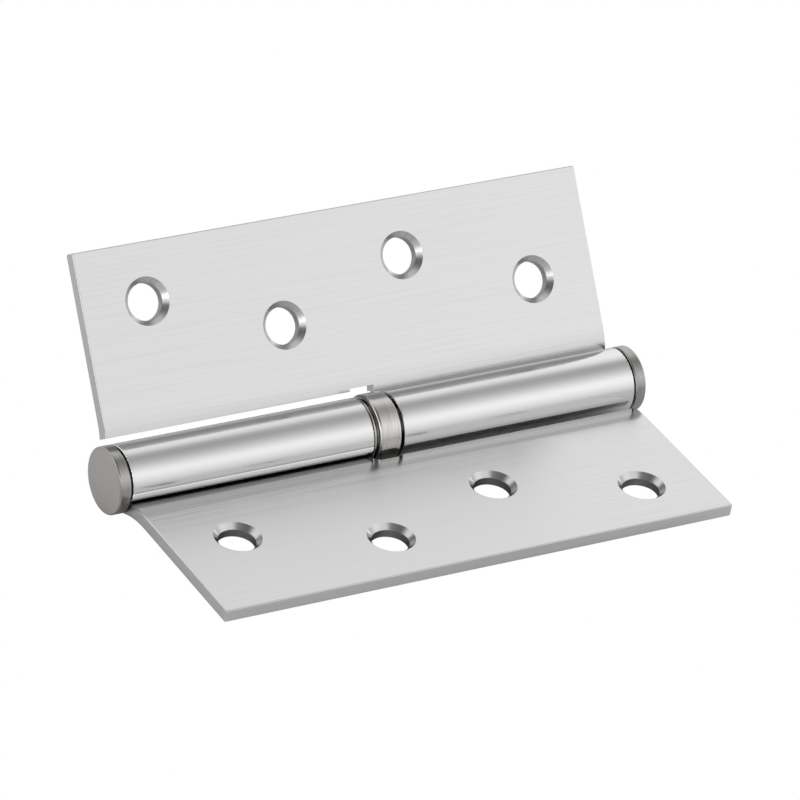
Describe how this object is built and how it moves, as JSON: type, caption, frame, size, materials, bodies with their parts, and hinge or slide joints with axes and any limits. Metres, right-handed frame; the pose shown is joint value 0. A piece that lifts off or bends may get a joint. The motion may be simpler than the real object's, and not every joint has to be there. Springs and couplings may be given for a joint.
{
  "type": "lift off hinge",
  "caption": "Lift off butt hinge with rolled knuckles, countersunk screw holes, pressed-in end caps and a crimped ball bearing between the knuckles, standing half open.",
  "frame": {"origin": "on the pin leaf's mounting face, at the centre of its four screw holes", "axes": "+X along the pin from the pin leaf's cap to the lift leaf's cap, +Y from the pin leaf's holes towards the pin, +Z out of the pin leaf's inner face"},
  "size_m": [0.1048, 0.0642, 0.0361],
  "materials": {
    "leaf_metal": "satin nickel plate on rolled steel, brushed along the length",
    "cap_metal": "turned, satin nickel plate",
    "shell_metal": "drawn and crimped, turned streaks, satin nickel plate",
    "race_steel": "turned bearing steel",
    "pin_steel": "ground steel",
    "ball_steel": "polished chrome steel"
  },
  "bodies": {
    "fixed_side": {"pin_leaf": "leaf_metal", "pin_leaf_cap": "cap_metal", "hinge_pin": "pin_steel", "lower_race": "race_steel"},
    "bearing_top": {"bearing_shell": "shell_metal", "upper_race": "race_steel"},
    "lift_side": {"lift_leaf": "leaf_metal", "lift_leaf_cap": "cap_metal"},
    "ball_row": {"bearing_ball_01": "ball_steel", "bearing_ball_02": "ball_steel", "bearing_ball_03": "ball_steel", "bearing_ball_04": "ball_steel", "bearing_ball_05": "ball_steel", "bearing_ball_06": "ball_steel", "bearing_ball_07": "ball_steel", "bearing_ball_08": "ball_steel", "bearing_ball_09": "ball_steel", "bearing_ball_10": "ball_steel", "bearing_ball_11": "ball_steel", "bearing_ball_12": "ball_steel", "bearing_ball_13": "ball_steel", "bearing_ball_14": "ball_steel", "bearing_ball_15": "ball_steel", "bearing_ball_16": "ball_steel"}
  },
  "joints": [
    {"name": "swing", "type": "hinge", "parent": "fixed_side", "child": "bearing_top", "pos_m": [0, 0.0242, 0.0033], "axis": [-1, 0, 0], "range_deg": [-127.2, 172.8]},
    {"name": "lift_off", "type": "slide", "parent": "bearing_top", "child": "lift_side", "axis": [1, 0, 0], "range_m": [-0.00065, 0.04]},
    {"name": "ball_orbit", "type": "hinge", "parent": "fixed_side", "child": "ball_row", "pos_m": [0, 0.0242, 0.0033], "axis": [-1, 0, 0], "range_deg": [-63.6, 86.4]}
  ],
  "couplings": [
    {"joint": "ball_orbit", "follows": "swing", "ratio": 0.5}
  ]
}
